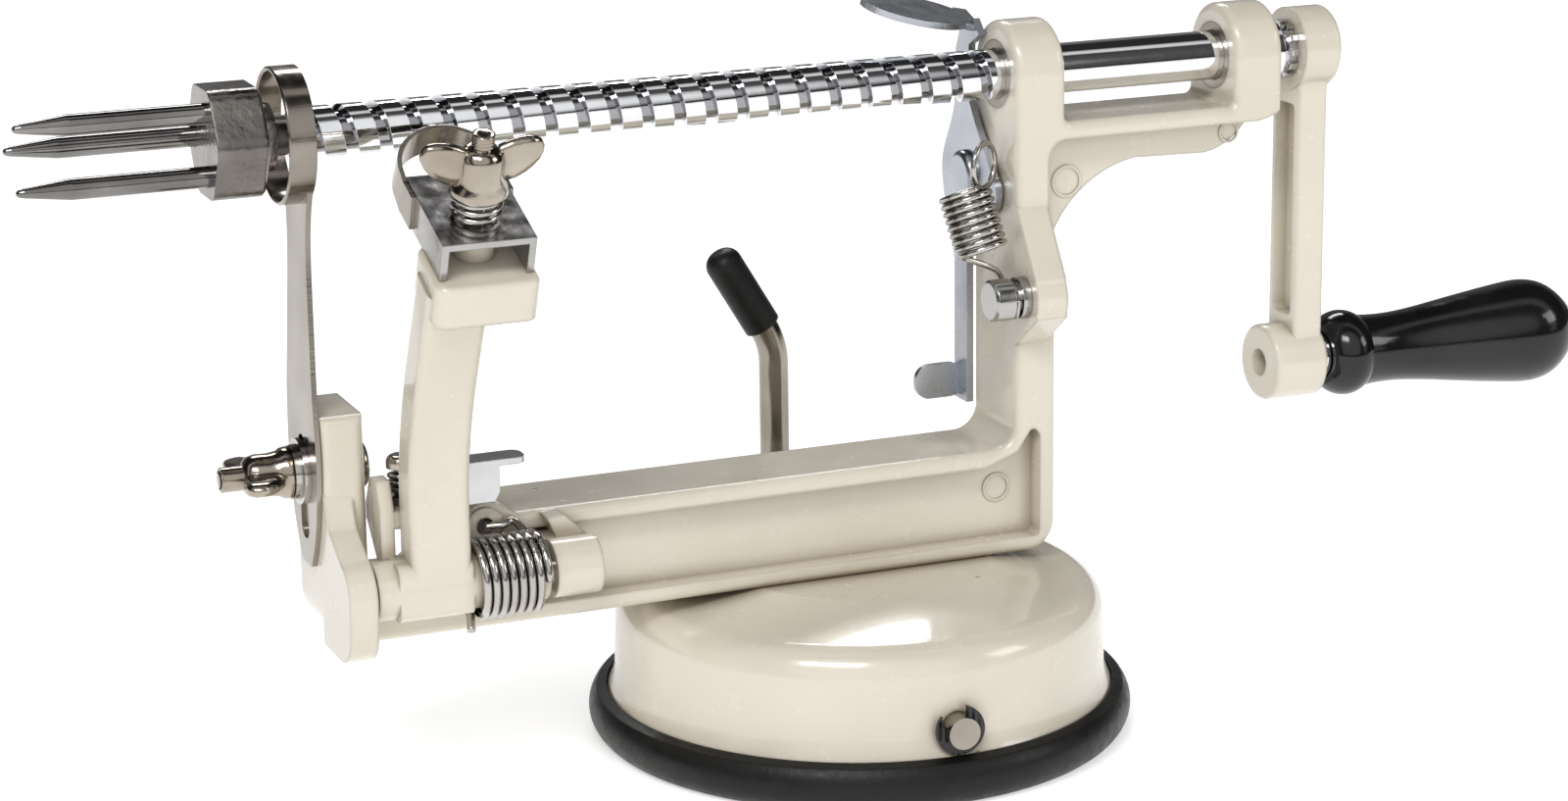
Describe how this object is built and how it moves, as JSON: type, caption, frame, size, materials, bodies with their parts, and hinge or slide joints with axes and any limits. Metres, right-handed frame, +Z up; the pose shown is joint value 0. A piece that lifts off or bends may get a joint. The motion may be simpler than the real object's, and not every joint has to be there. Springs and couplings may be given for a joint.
{
  "type": "apple peeler corer",
  "caption": "Hand-cranked bench peeler and corer: suction base, cast frame, screw-fed fork, coring ring and sprung peeling arm.",
  "frame": {"origin": "centre of the rubber pad's flat underside", "axes": "+X along the screw shaft towards the crank, -Y towards the person cranking, +Z up"},
  "size_m": [0.3267, 0.1124, 0.1435],
  "materials": {
    "cream_enamel": "gloss",
    "chrome_shaft": "mirror",
    "cast_nickel": "satin",
    "spring_steel": "bright",
    "blade_steel": "polished",
    "lever_steel": "stamped",
    "sintered_bush": "matt",
    "black_gloss": "gloss",
    "black_rubber": "matt"
  },
  "bodies": {
    "frame": {"frame_casting": "cream_enamel", "base_shell": "cream_enamel", "suction_pad": "black_rubber", "base_screws": "spring_steel", "left_shaft_bush": "sintered_bush", "right_shaft_bush": "sintered_bush", "spring_stud": "cast_nickel", "lever_rivet": "lever_steel", "lever_spring": "spring_steel", "torsion_spring": "spring_steel", "arm_pivot_pin": "cast_nickel", "corer_blade": "blade_steel", "corer_bolt": "cast_nickel", "corer_flat_washer": "spring_steel", "corer_spring_washer": "spring_steel"},
    "carriage": {"thrust_collar": "chrome_shaft"},
    "screw": {"screw_shaft": "chrome_shaft", "serrated_collar": "cast_nickel", "crank_arm": "cream_enamel", "handle_stud": "chrome_shaft", "handle_washer": "chrome_shaft", "fork_hub": "cast_nickel", "fork_prongs": "chrome_shaft"},
    "handle": {"handle_grip": "black_gloss"},
    "peeler_arm": {"peeling_arm": "cream_enamel", "blade_bracket": "blade_steel", "blade_hoop": "blade_steel", "bracket_screw": "cast_nickel", "bracket_spring": "spring_steel", "latch_screw": "cast_nickel", "latch_spring": "spring_steel"},
    "blade_nut": {"blade_wing_nut": "cast_nickel"},
    "latch": {"latch_lever": "blade_steel"},
    "release_lever": {"release_lever": "lever_steel"},
    "corer_nut": {"corer_wing_nut": "cast_nickel"},
    "suction_lever": {"suction_lever": "spring_steel", "suction_cam": "cast_nickel", "lever_cap": "black_rubber", "cam_clip": "black_gloss"},
    "plunger": {"pad_plunger": "cast_nickel"}
  },
  "joints": [
    {"name": "shaft_feed", "type": "slide", "parent": "frame", "child": "carriage", "axis": [1, 0, 0], "range_m": [0, 0.1143]},
    {"name": "shaft_turn", "type": "hinge", "parent": "carriage", "child": "screw", "pos_m": [0, 0, 0.128], "axis": [1, 0, 0], "range_deg": [0, 6480]},
    {"name": "handle_spin", "type": "hinge", "parent": "screw", "child": "handle", "pos_m": [0.135, 0, 0.0634], "axis": [1, 0, 0], "continuous": true},
    {"name": "arm_swing", "type": "hinge", "parent": "frame", "child": "peeler_arm", "pos_m": [-0.085, -0.0184, 0.0458], "axis": [1, 0, 0], "range_deg": [0, 55], "stiffness_Nm_per_rad": 0.12, "springref_deg": -51.57},
    {"name": "blade_nut_turn", "type": "hinge", "parent": "peeler_arm", "child": "blade_nut", "pos_m": [-0.0883, -0.03859, 0.12233], "axis": [0, -0.3746, 0.9272], "range_deg": [0, 180]},
    {"name": "latch_turn", "type": "hinge", "parent": "peeler_arm", "child": "latch", "pos_m": [-0.096, -0.0106, 0.061], "axis": [0, 0, 1], "range_deg": [-4, 12]},
    {"name": "release_lever_pivot", "type": "hinge", "parent": "frame", "child": "release_lever", "pos_m": [0.0289, 0.0094, 0.1065], "axis": [1, 0, 0], "range_deg": [-8, 0], "stiffness_Nm_per_rad": 0.05, "springref_deg": 34.38},
    {"name": "corer_nut_turn", "type": "hinge", "parent": "frame", "child": "corer_nut", "pos_m": [-0.118, 0, 0.065], "axis": [-1, 0, 0], "range_deg": [0, 180]},
    {"name": "suction_lever_turn", "type": "hinge", "parent": "frame", "child": "suction_lever", "pos_m": [0.0016, 0, 0.014], "axis": [0.0576, 0.9983, 0], "range_deg": [0, 80]},
    {"name": "plunger_lift", "type": "slide", "parent": "frame", "child": "plunger", "axis": [0, 0, 1], "range_m": [0, 0.0024]}
  ],
  "couplings": [
    {"joint": "shaft_feed", "follows": "shaft_turn", "m_per_rad": 0.0010106},
    {"joint": "plunger_lift", "follows": "suction_lever_turn", "m_per_rad": 0.0017189}
  ]
}
